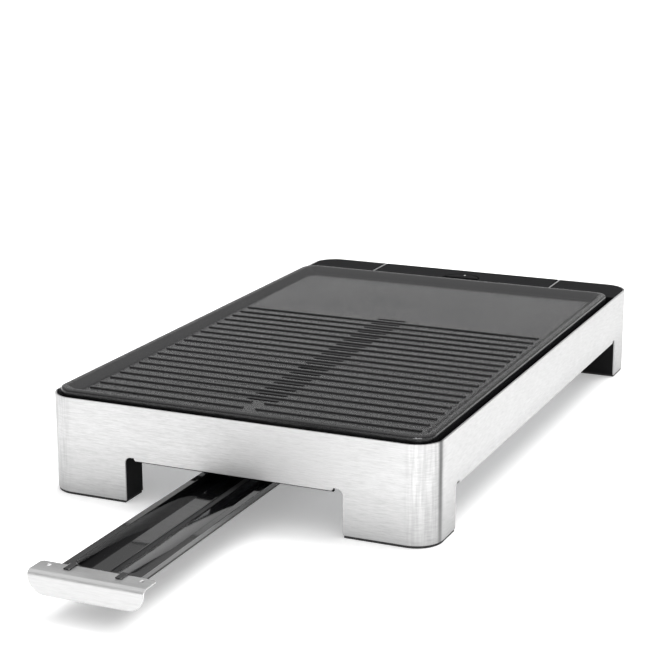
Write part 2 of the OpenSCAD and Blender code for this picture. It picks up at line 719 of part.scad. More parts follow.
module thermostat_probe() color(steel) translate([0, nose_y1 + 2, tube_z]) rotate([90, 0, 0]) {
    cylinder(r = probe_r, h = probe_l + nose_y1 + 2 - unit_y0 - probe_r);
    translate([0, 0, probe_l + nose_y1 + 2 - unit_y0 - probe_r]) sphere(probe_r);
}

switch_top = tube_z - nose_h - 1;
switch_x = pin_x - 3;
module thermostat_switch() color([0.86, 0.84, 0.78]) difference() {
    union() {
        block(-switch_x, dial_cy - 12, unit_z0 + 4, switch_x, dial_cy + 12, switch_top - 4);
        translate([0, dial_cy, switch_top - 5]) cylinder(r = 6, h = 4.5);
    }
    translate([0, dial_cy, unit_z0 + 9]) cylinder(r = shaft_r - 0.5 + 0.06, h = 40);
}

// strips from the sleeves down to the switch
module lead_strips() color(brassc) both_sides() {
    block(pin_x - 2, nose_y1 + 3, tube_z - 3.2, pin_x + 2, nose_y1 + 3.8, tube_z + 3.2);
    block(pin_x - 2, nose_y1 + 3, unit_z0 + 8, pin_x + 2, nose_y1 + 3.8, tube_z - 3);
    block(switch_x, nose_y1 + 3, unit_z0 + 8, pin_x + 2, nose_y1 + 3.8, unit_z0 + 12);
}

module pilot_lamp() color([0.95, 0.6, 0.4]) translate([lens_x, lens_y, band_top - 17]) {
    cylinder(r = 2.5, h = 8.5);
    translate([0, 0, 8.5]) sphere(2.5);
    for (s = [-1, 1]) translate([s * 1.2, 0, -7]) cylinder(r = 0.4, h = 7.5);
}

module lamp_lens() color([0.75, 0.12, 0.08]) translate([lens_x, lens_y, 0]) {
    translate([0, 0, band_top - 0.8]) cylinder(r = 3.3, h = 0.8);
    translate([0, 0, band_top - 4]) cylinder(r = 2.5, h = 3.6);
}

module cord_gland() color(rubberc) translate([outlet_x, unit_y1 + 3, outlet_z]) rotate([90, 0, 0]) difference() {
    union() {
        cylinder(r = outlet_r + 4.5, h = 3);
        cylinder(r = outlet_r + 2.5, h = 3 + case_t + 0.2);
        translate([0, 0, 3 + case_t + 0.1]) cylinder(r = outlet_r + 4.2, h = 2.4);
        cylinder(r = outlet_r + 2, h = 13);
    }
    translate([0, 0, -1]) cylinder(r = outlet_r, h = 20);
}

module case_screws() color(sheetc) for (x = [-1, 1], y = screw_y)
    translate([x * screw_x, y, unit_z0 + 3]) screw(3, 2, 1.35, unit_zs - unit_z0 + 4);

// ---------- dial ----------
module temperature_dial() color(black) translate([0, dial_cy, dial_z]) difference() {
    cylinder(r = dial_r, h = dial_t);
    translate([-dial_r - 1, -groove_w / 2, dial_t - groove_d]) cube([2 * dial_r + 2, groove_w, 5]);
    translate([0, 0, -1]) cylinder(r = shaft_r, h = 2.6);
    translate([0, dial_r - 5, dial_t - 0.5]) cylinder(r = 1, h = 2);
}

module dial_marker() color([0.9, 0.9, 0.9])
    translate([0, dial_cy + dial_r - 5, dial_z + dial_t - 0.5]) cylinder(r = 0.98, h = 0.5);

module dial_shaft() color(sheetc) {
    translate([0, dial_cy, switch_top]) cylinder(r = shaft_r - 0.02, h = dial_z + 1.5 - switch_top);
    translate([0, dial_cy, unit_z0 + 10]) cylinder(r = shaft_r - 0.5, h = switch_top - unit_z0 - 9);
}

// ---------- drip tray ----------
hook_x = 20;
module drip_tray() color(black) {
    tl = trough_y1 - trough_y0;
    tc = (trough_y0 + trough_y1) / 2;
    difference() {
        union() {
            translate([0, 0, lip_z - tray_t]) linear_extrude(tray_t)
                translate([0, (tray_y0 + tray_y1) / 2]) rounded_rect(tray_w, tray_l, 2);
            translate([0, tc, tray_z]) linear_extrude(tray_h)
                rounded_rect(trough_w + 2 * tray_t, tl + 2 * tray_t, trough_r + tray_t);
        }
        translate([0, tc, tray_z + 2 * tray_t]) linear_extrude(tray_h) rounded_rect(trough_w, tl, trough_r);
        // channel along the floor
        block(-channel_w / 2, trough_y0 + 1, tray_z + tray_t, channel_w / 2, trough_y1 - 8, tray_z + 3 * tray_t);
    }
    // hooks that hold the handle's flange down on the lip
    for (s = [-1, 1]) {
        block(s * hook_x - 2.5, flange_y + 0.3, lip_z - tray_t / 2, s * hook_x + 2.5, flange_y + 0.3 + tray_t,
              lip_z + handle_t + tray_t);
        block(s * hook_x - 2.5, flange_y - 8.8, lip_z + handle_t, s * hook_x + 2.5, flange_y + 0.3 + tray_t,
              lip_z + handle_t + tray_t);
    }
}

module tray_handle() color(steel) {
    top = lip_z + handle_t;
    difference() {
        intersection() {
            // flange, bend and face in side view
            run_x(0, -handle_w / 2, handle_w / 2) {
                area(face_y + handle_bend, top - handle_t, flange_y, top);
                area(face_y, top - face_h, face_y + handle_t, top - handle_bend);
                translate([face_y + handle_bend, top - handle_bend]) intersection() {
                    difference() {
                        circle(handle_bend);
                        circle(handle_bend - handle_t);
                    }
                    area(-handle_bend - 1, 0, 0, handle_bend + 1);
                }
            }
            // rounded lower corners of the face
            translate([0, flange_y + 1, 0]) rotate([90, 0, 0]) linear_extrude(flange_d + 2) {
                area(-handle_w / 2, top - face_h + face_r, handle_w / 2, top + 1);
                area(-handle_w / 2 + face_r, top - face_h, handle_w / 2 - face_r, top + 1);
                for (s = [-1, 1]) translate([s * (handle_w / 2 - face_r), top - face_h + face_r]) circle(face_r);
            }
            // rounded rear corners of the flange
            translate([0, 0, top - face_h - 1]) linear_extrude(face_h + 3) {
                area(-handle_w / 2, face_y - 1, handle_w / 2, flange_y - 3);
                area(-handle_w / 2 + 3, face_y - 1, handle_w / 2 - 3, flange_y);
                for (s = [-1, 1]) translate([s * (handle_w / 2 - 3), flange_y - 3]) circle(3);
            }
        }
        for (s = [-1, 1]) translate([s * 36, flange_y - 4.8, lip_z - 1]) cylinder(r = 1.8, h = 5);
    }
}

steel_shell();
base_frame();
rear_deck_left();
rear_deck_right();
bottom_pan();
pan_screws();
heat_shield();
shield_spacers();
shield_screws();
tray_rail_left();
tray_rail_right();
rail_rivets();
foot_pads();
plate_rests();
grill_plate();
heating_element();
element_clips();
clip_screws();
terminal_pins();
terminal_insulators();
terminal_guard();
guard_screws();
control_base();
control_top();
socket_block();
socket_sleeves();
thermostat_probe();
thermostat_switch();
lead_strips();
pilot_lamp();
lamp_lens();
cord_gland();
case_screws();
temperature_dial();
dial_marker();
dial_shaft();
drip_tray();
tray_handle();
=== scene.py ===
"""Looks for an electric table griddle: brushed steel band, ribbed lift-off plate, plug-in
control with its dial, and a drip tray that slides out at the front. Metres, Z up."""

import json
import math

import bmesh
import bpy
from bpy.props import FloatProperty, FloatVectorProperty, IntProperty, PointerProperty
from mathutils import Matrix, Vector


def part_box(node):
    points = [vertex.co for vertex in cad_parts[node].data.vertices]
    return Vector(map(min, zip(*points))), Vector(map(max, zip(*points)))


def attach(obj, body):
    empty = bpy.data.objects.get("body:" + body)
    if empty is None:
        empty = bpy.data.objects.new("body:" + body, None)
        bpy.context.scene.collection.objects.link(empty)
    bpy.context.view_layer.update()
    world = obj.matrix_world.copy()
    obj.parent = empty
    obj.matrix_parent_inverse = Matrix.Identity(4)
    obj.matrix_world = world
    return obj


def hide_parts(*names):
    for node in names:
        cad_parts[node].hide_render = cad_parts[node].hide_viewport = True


bl_info = {
    "name": "Table griddle",
    "version": (1, 0, 0),
    "blender": (4, 5, 0),
    "location": "View3D > Sidebar > Griddle",
    "description": "Builds the visible pieces, finishes and studio of a table griddle",
    "category": "Object",
}

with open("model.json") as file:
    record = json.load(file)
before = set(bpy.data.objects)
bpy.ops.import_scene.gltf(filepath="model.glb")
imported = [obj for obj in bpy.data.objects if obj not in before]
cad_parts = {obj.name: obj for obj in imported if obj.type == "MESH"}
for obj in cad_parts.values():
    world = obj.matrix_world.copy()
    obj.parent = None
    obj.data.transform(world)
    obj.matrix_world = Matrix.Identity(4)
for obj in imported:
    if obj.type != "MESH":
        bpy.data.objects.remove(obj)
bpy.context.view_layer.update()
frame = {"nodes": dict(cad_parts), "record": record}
NODES = frame["nodes"]
SLOT_OF = {row["node"]: row["material_slot"] for row in frame["record"]["subparts"]}
BODY_OF = {
    node: body
    for body, names in frame["record"]["behaviour"]["bodies"].items()
    for node in names
}


# ---------------------------------------------------------------- fixed values
BEND = 0.022  # outside radius of the band's corners
# the painted dark reflection band in each corner bend fades in and out over these, across the bend
REFLECTION_BAND_START = (0.0110, 0.0145)
REFLECTION_BAND_END = (0.0165, 0.0200)
RIDGE_HEIGHTS = (0.0808, 0.0823)  # where the plate's coating gets smoother
CHANNEL_HEIGHTS = (0.0238, 0.0244)  # bottom and brim of the tray's channel
PLATE_DEPTH = 0.0048  # from the top of the plate's rim to its floor
# how bright the studio's dome is at each height: dark wall, bright strip, dark band, bright top
DOME = (
    (0.0, 0.12), (0.15, 0.12), (0.20, 1.0), (0.24, 0.97), (0.268, 0.03),
    (0.325, 0.03), (0.37, 0.25), (0.5, 0.25), (0.66, 0.70),
)
DOME_STRENGTH = 1.65
FLOOR_GLOW = 0.29
CEILING_TOWARDS, CEILING_POWER, CEILING_SPREAD = (-0.15, -0.5, -1.0), 2.5, 44.0
SOFTBOX_PLACE, SOFTBOX_TARGET = (0.7, -1.8, 0.3), (0.0, -0.27, 0.06)
SOFTBOX_SIZE, SOFTBOX_POWER = (1.2, 0.4), 21.0
CAMERA_PLACE = (0.5965, -1.4249, 0.4964)
CAMERA_YAW, CAMERA_PITCH, CAMERA_ROLL = 24.16, 14.765, 0.189  # degrees
CAMERA_LENS, CAMERA_SENSOR = 99.57, 36.0  # millimetres


# ---------------------------------------------------------------- settings
def length(name, description, default, most):
    return FloatProperty(
        name=name, description=description, default=default, min=0.0, max=most,
        precision=5, subtype="DISTANCE", unit="LENGTH",
    )


def colour(name, description, default):
    return FloatVectorProperty(
        name=name, description=description, default=default, size=3, min=0.0, max=1.0,
        subtype="COLOR",
    )


class GriddleSizes(bpy.types.PropertyGroup):
    """Small roundings and other sizes of the visible pieces."""

    steel_edge: length("Steel edge", "Rounding on the steel sheet's cut edges", 0.0003, 0.0006)
    rib_round: length("Rib rounding", "Rounding along the tops of the ribs and rim", 0.0009, 0.001)
    casting_steps: IntProperty(
        name="Casting steps", description="Facets across each rounding of the plate",
        default=3, min=1, max=6,
    )
    plastic_edge: length("Plastic edge", "Rounding on the moulded pieces", 0.0005, 0.0008)
    dial_edge: length("Dial edge", "Rounding round the dial", 0.0006, 0.0008)
    tray_edge: length("Tray edge", "Rounding on the edges of the enamelled tray", 0.00045, 0.0005)
    handle_edge: length("Handle edge", "Rounding on the tray's handle", 0.0003, 0.0005)
    floor_reach: length("Floor", "Radius of the studio floor", 14.0, 40.0)


class GriddleColours(bpy.types.PropertyGroup):
    """Colours of the finishes and of the studio."""

    steel: colour("Brushed steel", "Steel of the band", (0.565, 0.565, 0.565))
    handle: colour("Handle steel", "Steel of the tray's handle", (0.54, 0.54, 0.54))
    coating: colour("Plate coating", "Non-stick coating of the plate", (0.0085, 0.0085, 0.009))
    plastic: colour("Black plastic", "Moulded frame and control unit", (0.012, 0.012, 0.0125))
    enamel: colour("Black enamel", "Enamel of the drip tray", (0.003, 0.003, 0.0033))
    rubber: colour("Rubber", "Feet and cord gland", (0.010, 0.010, 0.010))
    marks: colour("Marks", "Printed marks and the dial's marker", (0.72, 0.72, 0.70))
    lens: colour("Lamp lens", "Red lens of the pilot lamp", (0.42, 0.015, 0.010))
    floor: colour("Floor", "Studio floor", (0.90, 0.90, 0.90))


# ---------------------------------------------------------------- finishes
class Finish:
    """A node material in the making, patterned by the piece's own coordinates."""

    def __init__(self, name, **fixed):
        self.made = bpy.data.materials.new(name)
        self.made.use_nodes = True
        tree = self.made.node_tree
        self.nodes, self.links = tree.nodes, tree.links
        self.nodes.clear()
        self.shader = self.nodes.new("ShaderNodeBsdfPrincipled")
        out = self.nodes.new("ShaderNodeOutputMaterial")
        self.links.new(self.shader.outputs["BSDF"], out.inputs["Surface"])
        self.place = self.nodes.new("ShaderNodeTexCoord").outputs["Object"]
        for socket, value in fixed.items():
            self.shader.inputs[socket.replace("_", " ")].default_value = value

    def feed(self, socket, value):
        if isinstance(value, bpy.types.NodeSocket):
            self.links.new(value, socket)
        else:
            socket.default_value = value

    def grain(self, stretch, detail=2.0, rough=0.5):
        """Noise whose grains are 1 / stretch metres across, along X, Y and Z."""
        if not hasattr(stretch, "__len__"):
            stretch = (stretch,) * 3
        mapping = self.nodes.new("ShaderNodeMapping")
        mapping.inputs["Scale"].default_value = stretch
        self.links.new(self.place, mapping.inputs["Vector"])
        noise = self.nodes.new("ShaderNodeTexNoise")
        noise.inputs["Scale"].default_value = 1.0
        noise.inputs["Detail"].default_value = detail
        noise.inputs["Roughness"].default_value = rough
        self.links.new(mapping.outputs[0], noise.inputs["Vector"])
        return noise.outputs[0]

    def pits(self, per_metre):
        """Distance to the nearest of many scattered points."""
        cells = self.nodes.new("ShaderNodeTexVoronoi")
        cells.inputs["Scale"].default_value = per_metre
        self.links.new(self.place, cells.inputs["Vector"])
        return cells.outputs["Distance"]

    def axis(self, letter):
        parts = self.nodes.new("ShaderNodeSeparateXYZ")
        self.links.new(self.place, parts.inputs[0])
        return parts.outputs[letter]

    def spread(self, value, low, high, start=0.0, end=1.0):
        """value from start to end, turned into low to high and held there."""
        node = self.nodes.new("ShaderNodeMapRange")
        self.feed(node.inputs["Value"], value)
        for socket, number in (
            ("From Min", start), ("From Max", end), ("To Min", low), ("To Max", high),
        ):
            node.inputs[socket].default_value = number
        return node.outputs["Result"]

    def sum(self, first, second, kind="ADD"):
        node = self.nodes.new("ShaderNodeMath")
        node.operation = kind
        self.feed(node.inputs[0], first)
        self.feed(node.inputs[1], second)
        return node.outputs[0]

    def tint(self, share, low, high):
        """A colour between low and high."""
        node = self.nodes.new("ShaderNodeMix")
        node.data_type = "RGBA"
        self.feed(node.inputs["Factor"], share)
        for socket, shade in ((node.inputs[6], low), (node.inputs[7], high)):
            self.feed(socket, shade if isinstance(shade, bpy.types.NodeSocket) else (*shade, 1.0))
        return node.outputs[2]

    def set(self, **links):
        for socket, value in links.items():
            self.feed(self.shader.inputs[socket.replace("_", " ")], value)
        return self

    def relief(self, height, depth, strength=1.0):
        """Bump of that depth in metres."""
        node = self.nodes.new("ShaderNodeBump")
        node.inputs["Strength"].default_value = strength
        node.inputs["Distance"].default_value = depth
        self.links.new(height, node.inputs["Height"])
        self.links.new(node.outputs[0], self.shader.inputs["Normal"])
        return self


def shade(base, factor):
    return tuple(min(1.0, part * factor) for part in base)


def brushed(name, base, along, roughness, anisotropic=0.5, contrast=0.07, depth=0.00002):
    """Metal brushed in one direction: along gives grains per metre on X, Y and Z."""
    made = Finish(name, Metallic=1.0, Anisotropic=anisotropic)
    hair = made.grain(along, 3.0, 0.7)
    fine = made.grain(tuple(2.3 * part for part in along), 2.0, 0.6)
    cloud = made.grain(9.0, 2.0)
    mixed = made.sum(made.sum(hair, fine), made.sum(cloud, 0.4, "MULTIPLY"))
    share = made.spread(mixed, 0.0, 1.0, 0.85, 1.55)
    made.tone = made.tint(share, shade(base, 1 - contrast), shade(base, 1 + contrast))
    made.set(
        Base_Color=made.tone,
        Roughness=made.spread(hair, roughness * 1.2, roughness * 0.8, 0.3, 0.7),
    )
    return made.relief(made.sum(hair, fine), depth)


def banded(name, base, along, roughness, anisotropic, contrast):
    """The band's steel, with painted shade towards the feet and painted reflection streaks and a
    painted dark reflection band in each corner bend.
    """
    made = brushed(name, base, along, roughness, anisotropic, contrast)
    low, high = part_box("steel_shell")
    reach = [
        made.sum(made.sum(made.axis(letter), 0.0, "ABSOLUTE"), edge - BEND, "SUBTRACT")
        for letter, edge in (("X", high.x), ("Y", high.y))
    ]
    bend = made.spread(made.sum(*reach, "MINIMUM"), 0.0, 1.0, -0.002, 0.004)
    # painted reflection: dark upright streaks across each corner bend stand in for the room
    # mirrored in the steel
    reflection_streaks = made.grain((380.0, 380.0, 26.0), 3.0, 0.6)
    streak = made.sum(made.spread(reflection_streaks, 0.0, 1.0, 0.42, 0.62), bend, "MULTIPLY")
    # painted reflection: a dark band partway round each corner bend stands in for a dark part of
    # the room mirrored in the steel
    turn = made.sum(*reach, "SUBTRACT")
    rising = made.spread(turn, 0.0, 1.0, *REFLECTION_BAND_START)
    falling = made.spread(turn, 1.0, 0.0, *REFLECTION_BAND_END)
    painted_reflection_band = made.sum(made.sum(rising, falling, "MULTIPLY"), bend, "MULTIPLY")
    # painted shade: the steel darkens towards the feet, where the floor round them lies in shadow
    painted_foot_shade = made.spread(made.axis("Z"), 1.0, 0.0, 0.002, 0.050)
    # the painted reflection streaks darken the steel in the bends
    tone = made.tint(made.sum(streak, 0.32, "MULTIPLY"), made.tone, shade(base, 0.45))
    # the painted dark reflection band darkens the steel in each bend
    tone = made.tint(made.sum(painted_reflection_band, 0.9, "MULTIPLY"), tone, shade(base, 0.22))
    made.set(Base_Color=made.tint(made.sum(painted_foot_shade, 0.55, "MULTIPLY"), tone, shade(base, 0.5)))
    return made


def rolled(name, base, roughness, metallic=1.0, depth=0.00003):
    """Plain mill-finished sheet with faint rolling marks along Y and small spots."""
    made = Finish(name, Metallic=metallic)
    streak = made.grain((900.0, 30.0, 900.0), 2.0)
    cloud = made.grain(45.0, 3.0)
    spot = made.spread(made.pits(420.0), 1.0, 0.0, 0.05, 0.22)
    share = made.spread(made.sum(streak, cloud), 0.0, 1.0, 0.7, 1.3)
    base_colour = made.tint(share, shade(base, 0.86), shade(base, 1.08))
    made.set(
        Base_Color=made.tint(made.sum(spot, 0.25, "MULTIPLY"), base_colour, shade(base, 0.6)),
        Roughness=made.spread(cloud, roughness * 0.8, roughness * 1.25, 0.3, 0.7),
    )
    return made.relief(streak, depth).made


def moulded(name, base, roughness, grain_size=0.0006, depth=0.00004, **fixed):
    """Moulded plastic or rubber with a fine spark-eroded grain."""
    made = Finish(name, **fixed)
    skin = made.grain(1.0 / grain_size, 3.0, 0.6)
    cloud = made.grain(28.0, 3.0)
    dust = made.spread(made.pits(260.0), 1.0, 0.0, 0.02, 0.09)
    share = made.spread(made.sum(skin, cloud), 0.0, 1.0, 0.75, 1.25)
    base_colour = made.tint(share, shade(base, 0.85), shade(base, 1.2))
    made.set(
        Base_Color=made.tint(made.sum(dust, 0.12, "MULTIPLY"), base_colour, shade(base, 2.2)),
        Roughness=made.spread(
            made.sum(skin, cloud), roughness * 0.88, roughness * 1.14, 0.75, 1.25
        ),
    )
    return made.relief(skin, depth).made


def coated_plate(name, base):
    """Cast aluminium under a speckled non-stick coating, a little smoother on the ridges."""
    made = Finish(name, Specular_IOR_Level=0.5)
    grit = made.grain(760.0, 3.0, 0.75)
    peel = made.grain(420.0, 2.0)
    cloud = made.grain(14.0, 3.0)
    fleck = made.spread(made.pits(620.0), 1.0, 0.0, 0.08, 0.30)
    mixed = made.sum(grit, cloud)
    low = made.tint(made.spread(mixed, 0.0, 1.0, 0.7, 1.3), shade(base, 0.72), shade(base, 1.3))
    polish = made.spread(made.axis("Z"), 0.0, 1.0, *RIDGE_HEIGHTS)
    made.set(
        Base_Color=made.tint(made.sum(fleck, 0.35, "MULTIPLY"), low, shade(base, 2.6)),
        Roughness=made.sum(
            made.spread(mixed, 0.11, 0.23, 0.7, 1.3), made.sum(polish, 0.05, "MULTIPLY"),
            "SUBTRACT",
        ),
    )
    return made.relief(made.sum(grit, peel), 0.00015).made


def enamelled(name, base):
    """Glossy fired enamel with a slight orange peel, left dull at the bottom of the channel."""
    made = Finish(name, Specular_IOR_Level=1.0)
    peel = made.grain(330.0, 2.0)
    cloud = made.grain(24.0, 3.0)
    speck = made.spread(made.pits(500.0), 1.0, 0.0, 0.03, 0.10)
    low = made.tint(cloud, shade(base, 0.8), shade(base, 1.25))
    dull = made.spread(made.axis("Z"), 0.85, 0.0, *CHANNEL_HEIGHTS)
    made.set(
        Base_Color=made.tint(made.sum(speck, 0.2, "MULTIPLY"), low, shade(base, 4.0)),
        Roughness=made.sum(made.spread(cloud, 0.04, 0.09, 0.3, 0.7), dull),
    )
    return made.relief(peel, 0.000012).made


def heated_sheath(name):
    """Heating tube: dark oxidised steel with straw and blue patches where it runs hot."""
    made = Finish(name, Metallic=0.9)
    patch = made.grain(60.0, 4.0)
    scale = made.grain(900.0, 3.0, 0.7)
    share = made.spread(patch, 0.0, 1.0, 0.35, 0.65)
    warm = made.tint(share, (0.09, 0.075, 0.06), (0.17, 0.16, 0.16))
    made.set(
        Base_Color=made.tint(made.spread(scale, 0.0, 0.6, 0.4, 0.7), warm, (0.05, 0.05, 0.055)),
        Roughness=made.spread(scale, 0.35, 0.6, 0.3, 0.7),
    )
    return made.relief(scale, 0.00003).made


def fired_clay(name, base, roughness):
    """Ceramic or heat-proof moulding: chalky, with small pores."""
    made = Finish(name)
    pore = made.spread(made.pits(1600.0), 1.0, 0.0, 0.05, 0.2)
    chalk = made.grain(240.0, 3.0)
    low = made.tint(chalk, shade(base, 0.88), shade(base, 1.05))
    made.set(
        Base_Color=made.tint(made.sum(pore, 0.5, "MULTIPLY"), low, shade(base, 0.5)),
        Roughness=made.spread(chalk, roughness * 0.85, roughness * 1.1, 0.3, 0.7),
    )
    return made.relief(chalk, 0.00004).made


def clear(name, base, roughness, transmission, ribs=0.0):
    """Glass or clear plastic with moulding swirls, and fine rings where ribs is set."""
    made = Finish(name, Transmission_Weight=transmission, IOR=1.49)
    swirl = made.grain(380.0, 2.0)
    made.set(
        Base_Color=made.tint(swirl, shade(base, 0.8), shade(base, 1.1)),
        Roughness=made.spread(swirl, roughness * 0.6, roughness * 1.5, 0.3, 0.7),
    )
    return made.relief(made.grain(ribs or 900.0, 1.0), 0.00004).made


def printed(name, base):
    """Pad-printed paint: slightly uneven cover."""
    made = Finish(name)
    cover = made.grain(1400.0, 3.0)
    made.set(
        Base_Color=made.tint(made.spread(cover, 0.0, 1.0, 0.25, 0.6), shade(base, 0.8), base),
        Roughness=made.spread(cover, 0.42, 0.6, 0.3, 0.7),
    )
    return made.relief(cover, 0.00002).made


def make_finishes(colours):
    """One finish for each material slot of the part."""
    steel, plastic = colours.steel, colours.plastic
    round_band = (90.0, 90.0, 1250.0)
    across = (60.0, 1100.0, 1100.0)
    lengthways = (900.0, 60.0, 900.0)
    return {
        "brushed_steel": banded("brushed_steel", steel, round_band, 0.58, 0.5, 0.09).made,
        "handle_steel": brushed("handle_steel", colours.handle, across, 0.42, 0.3).made,
        "probe_steel": brushed("probe_steel", (0.62, 0.61, 0.60), lengthways, 0.3, 0.0).made,
        "sheet_steel": rolled("sheet_steel", (0.55, 0.56, 0.57), 0.38),
        "screw_steel": rolled("screw_steel", (0.50, 0.50, 0.51), 0.3),
        "reflector": rolled("reflector", (0.72, 0.73, 0.74), 0.3, 1.0, 0.00001),
        "contact_brass": rolled("contact_brass", (0.70, 0.52, 0.24), 0.3),
        "element_sheath": heated_sheath("element_sheath"),
        "coated_aluminium": coated_plate("coated_aluminium", colours.coating),
        "black_plastic": moulded(
            "black_plastic", plastic, 0.7, 0.0009, 0.00012, Specular_IOR_Level=0.03
        ),
        "socket_plastic": fired_clay("socket_plastic", (0.16, 0.10, 0.06), 0.55),
        "foot_rubber": moulded("foot_rubber", colours.rubber, 0.75, 0.0009, 0.00006),
        "rest_silicone": moulded("rest_silicone", (0.030, 0.029, 0.028), 0.62, 0.0011, 0.00004),
        "ceramic": fired_clay("ceramic", (0.78, 0.75, 0.68), 0.45),
        "lamp_glass": clear("lamp_glass", (0.95, 0.80, 0.68), 0.06, 0.85),
        "lens_plastic": clear("lens_plastic", colours.lens, 0.10, 0.45, 2200.0),
        "marker_paint": printed("marker_paint", colours.marks),
        "black_enamel": enamelled("black_enamel", colours.enamel),
    }


def finish_for(node):
    name = SLOT_OF[node]
    if name not in bpy.data.materials:
        raise RuntimeError(f"no finish has been made for {name}")
    return bpy.data.materials[name]


# ---------------------------------------------------------------- shapes
def merged(node):
    """The node's triangles joined into one skin, with its flat faces whole."""
    bm = bmesh.new()
    bm.from_mesh(NODES[node].data)
    bmesh.ops.remove_doubles(bm, verts=bm.verts, dist=2e-6)
    bmesh.ops.dissolve_degenerate(bm, edges=bm.edges, dist=1e-6)
    bmesh.ops.dissolve_limit(
        bm, angle_limit=math.radians(0.6), use_dissolve_boundaries=False,
        verts=bm.verts, edges=bm.edges, delimit=set(),
    )
    return bm


def corners(bm, above, test=None):
    """Edges that turn more than above degrees outwards."""
    found = []
    for edge in bm.edges:
        if len(edge.link_faces) != 2:
            continue
        turn = edge.calc_face_angle_signed(0.0)
        if turn > math.radians(above) and (test is None or test(edge)):
            found.append(edge)
    return found


def rounded(bm, edges, width, steps):
    bmesh.ops.bevel(
        bm, geom=edges, offset=width, offset_type="OFFSET", segments=steps, profile=0.5,
        affect="EDGES", clamp_overlap=False, loop_slide=True, material=-1,
    )


def piece(name, bm, nodes, body=None, slot=None, crease=14.0):
    """Turns the mesh into a finished piece that rides its body and stands for nodes."""
    mesh = bpy.data.meshes.new(name)
    bm.to_mesh(mesh)
    bm.free()
    mesh.shade_smooth()
    mesh.set_sharp_from_angle(angle=math.radians(crease))
    made = bpy.data.objects.new(name, mesh)
    bpy.context.scene.collection.objects.link(made)
    slot = slot or SLOT_OF[nodes[0]]
    mesh.materials.append(bpy.data.materials[slot])
    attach(made, body or BODY_OF[nodes[0]])
    if nodes:
        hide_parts(*nodes)
    return made


def softened(node, width, steps=2, above=30.0, test=None, crease=14.0):
    """A finished copy of a node with its sharp outer edges rounded."""
    bm = merged(node)
    rounded(bm, corners(bm, above, test), width, steps)
    return piece(node + "_piece", bm, [node], crease=crease)


# ---------------------------------------------------------------- operators
class GRIDDLE_OT_finishes(bpy.types.Operator):
    """Make the finishes and put them on every node of the part"""

    bl_idname = "griddle.finishes"
    bl_label = "Finishes"

    def execute(self, context):
        for plain in list(bpy.data.materials):
            bpy.data.materials.remove(plain)
        make_finishes(context.scene.griddle_colours)
        for node, made in NODES.items():
            made.data.materials.clear()
            made.data.materials.append(finish_for(node))
        return {"FINISHED"}


class GRIDDLE_OT_steel_band(bpy.types.Operator):
    """Build the brushed steel band with its four legs"""

    bl_idname = "griddle.steel_band"
    bl_label = "Steel band"

    def execute(self, context):
        softened("steel_shell", context.scene.griddle_sizes.steel_edge, 2)
        return {"FINISHED"}


class GRIDDLE_OT_frame(bpy.types.Operator):
    """Build the moulded inner frame, the rear decks and the feet"""

    bl_idname = "griddle.frame"
    bl_label = "Frame and decks"

    def execute(self, context):
        sizes = context.scene.griddle_sizes
        softened("base_frame", sizes.plastic_edge * 0.6, 1)
        for node in ("rear_deck_left", "rear_deck_right"):
            softened(node, sizes.plastic_edge, 2)
        softened("foot_pads", sizes.plastic_edge * 0.6, 1)
        softened("plate_rests", sizes.plastic_edge, 2)
        return {"FINISHED"}


class GRIDDLE_OT_plate(bpy.types.Operator):
    """Build the ribbed plate with rounded ribs and rim"""

    bl_idname = "griddle.plate"
    bl_label = "Ribbed plate"

    def execute(self, context):
        sizes = context.scene.griddle_sizes
        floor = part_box("grill_plate")[1].z - PLATE_DEPTH

        def upper(edge):
            return min(v.co.z for v in edge.verts) > floor - 0.0001

        softened("grill_plate", sizes.rib_round, sizes.casting_steps, 20.0, upper)
        return {"FINISHED"}


class GRIDDLE_OT_control(bpy.types.Operator):
    """Build the control unit's case, its dial and its lamp lens"""

    bl_idname = "griddle.control"
    bl_label = "Control unit"

    def execute(self, context):
        sizes = context.scene.griddle_sizes
        softened("control_top", sizes.plastic_edge, 2)
        softened("control_base", sizes.plastic_edge, 2)
        softened("temperature_dial", sizes.dial_edge, 3)
        softened("lamp_lens", sizes.plastic_edge * 0.5, 2)
        softened("cord_gland", sizes.plastic_edge, 2)
        return {"FINISHED"}


class GRIDDLE_OT_tray(bpy.types.Operator):
    """Build the enamelled drip tray and its steel handle"""

    bl_idname = "griddle.tray"
    bl_label = "Drip tray"

    def execute(self, context):
        sizes = context.scene.griddle_sizes
        softened("drip_tray", sizes.tray_edge, 2)
        softened("tray_handle", sizes.handle_edge, 2)
        return {"FINISHED"}


